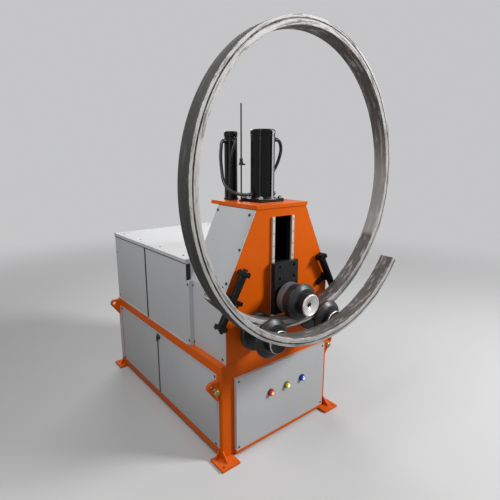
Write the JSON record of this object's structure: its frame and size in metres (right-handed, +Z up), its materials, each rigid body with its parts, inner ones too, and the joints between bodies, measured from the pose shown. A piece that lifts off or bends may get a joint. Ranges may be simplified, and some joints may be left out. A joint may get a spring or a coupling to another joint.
{
  "type": "hydraulic pipe rolling machine",
  "caption": "Floor-standing hydraulic machine that rolls pipe and section into rings between a pressed top roller and driven lower rollers, with a bent ring held in them.",
  "frame": {"origin": "on the floor under the middle of the overall box", "axes": "+Z up, front with the rollers towards -Y, +X to the right when seen from the front"},
  "size_m": [1.441, 1.673, 2.1175],
  "materials": {
    "orange_paint": "glossy orange machine enamel",
    "grey_paint": "satin light grey enamel",
    "black_paint": "glossy black enamel",
    "dark_steel": "blackened hardened steel",
    "bright_steel": "ground bright steel",
    "chrome": "hard chrome",
    "rolled_steel": "bare rolled steel with faint mill scale",
    "hose_rubber": "matt black",
    "lens_red": "clear glossy",
    "lens_yellow": "clear glossy",
    "lens_blue": "clear glossy"
  },
  "bodies": {
    "machine": {"base_frame": "orange_paint", "floor_tray": "grey_paint", "foot_front_left": "orange_paint", "foot_front_right": "orange_paint", "foot_rear_left": "orange_paint", "foot_rear_right": "orange_paint", "lug_front_left": "orange_paint", "lug_rear_left": "orange_paint", "lug_front_right": "orange_paint", "lug_rear_right": "orange_paint", "front_plate": "orange_paint", "rear_plate": "orange_paint", "head_top_plate": "orange_paint", "head_cover_left": "grey_paint", "head_cover_right": "grey_paint", "gib_left": "bright_steel", "gib_right": "bright_steel", "cabinet_panel_left_front": "grey_paint", "cabinet_panel_left_rear": "grey_paint", "cabinet_panel_right": "grey_paint", "cabinet_panel_rear": "grey_paint", "cabinet_bulkhead": "grey_paint", "cabinet_lid": "grey_paint", "side_panel_right": "grey_paint", "rear_panel_lower": "grey_paint", "control_panel": "grey_paint", "lamp_red": "lens_red", "lamp_yellow": "lens_yellow", "lamp_blue": "lens_blue", "bearing_left": "black_paint", "drive_left": "dark_steel", "bearing_right": "black_paint", "drive_right": "dark_steel", "cylinder_barrel": "black_paint", "cylinder_cap": "black_paint", "cylinder_pipe": "chrome", "hose_upper": "hose_rubber", "return_cylinder": "black_paint", "hose_return": "hose_rubber", "hose_drain": "hose_rubber", "support_body_left": "black_paint", "support_body_right": "black_paint", "oil_tank": "black_paint", "pump_motor": "dark_steel"},
    "ram": {"slide_carriage": "dark_steel", "slide_plate": "dark_steel", "ram_rod": "chrome", "stroke_rod": "black_paint"},
    "top_roller_set": {"top_roller": "dark_steel", "top_shaft": "bright_steel"},
    "lower_roller_set_left": {"lower_roller_left": "dark_steel", "lower_shaft_left": "bright_steel"},
    "lower_roller_set_right": {"lower_roller_right": "dark_steel", "lower_shaft_right": "bright_steel"},
    "section": {"bent_section": "rolled_steel"},
    "support_rod_l": {"support_rod_left": "chrome"},
    "support_rod_r": {"support_rod_right": "chrome"},
    "front_door": {"door_front": "grey_paint"},
    "rear_door": {"door_rear": "grey_paint"},
    "latch": {"door_latch": "black_paint"}
  },
  "joints": [
    {"name": "ram_slide", "type": "slide", "parent": "machine", "child": "ram", "axis": [0, 0, 1], "range_m": [0, 0.16]},
    {"name": "top_roller_spin", "type": "hinge", "parent": "ram", "child": "top_roller_set", "pos_m": [0, -0.6275, 0.829], "axis": [0, 1, 0], "range_deg": [0, 156]},
    {"name": "lower_left_spin", "type": "hinge", "parent": "machine", "child": "lower_roller_set_left", "pos_m": [-0.203, -0.6275, 0.69007], "axis": [0, 1, 0], "range_deg": [-331, 0]},
    {"name": "lower_right_spin", "type": "hinge", "parent": "machine", "child": "lower_roller_set_right", "pos_m": [0.203, -0.6275, 0.69007], "axis": [0, 1, 0], "range_deg": [-331, 0]},
    {"name": "section_feed", "type": "hinge", "parent": "machine", "child": "section", "pos_m": [0, -0.6275, 1.397], "axis": [0, 1, 0], "range_deg": [0, 20]},
    {"name": "support_left_slide", "type": "slide", "parent": "machine", "child": "support_rod_l", "axis": [0.5, 0, 0.866], "range_m": [0, 0.08]},
    {"name": "support_right_slide", "type": "slide", "parent": "machine", "child": "support_rod_r", "axis": [-0.5, 0, 0.866], "range_m": [0, 0.08]},
    {"name": "front_door_hinge", "type": "hinge", "parent": "machine", "child": "front_door", "pos_m": [-0.39, -0.4775, 0.274], "axis": [0, 0, 1], "range_deg": [0, 92]},
    {"name": "rear_door_hinge", "type": "hinge", "parent": "machine", "child": "rear_door", "pos_m": [-0.39, 0.7285, 0.274], "axis": [0, 0, -1], "range_deg": [0, 92]},
    {"name": "latch_turn", "type": "hinge", "parent": "front_door", "child": "latch", "pos_m": [-0.4, 0.1385, 0.458], "axis": [1, 0, 0], "range_deg": [0, 90]}
  ],
  "couplings": [
    {"joint": "top_roller_spin", "follows": "section_feed", "ratio": 7.7738},
    {"joint": "lower_left_spin", "follows": "section_feed", "ratio": -16.5},
    {"joint": "lower_right_spin", "follows": "section_feed", "ratio": -16.5}
  ]
}
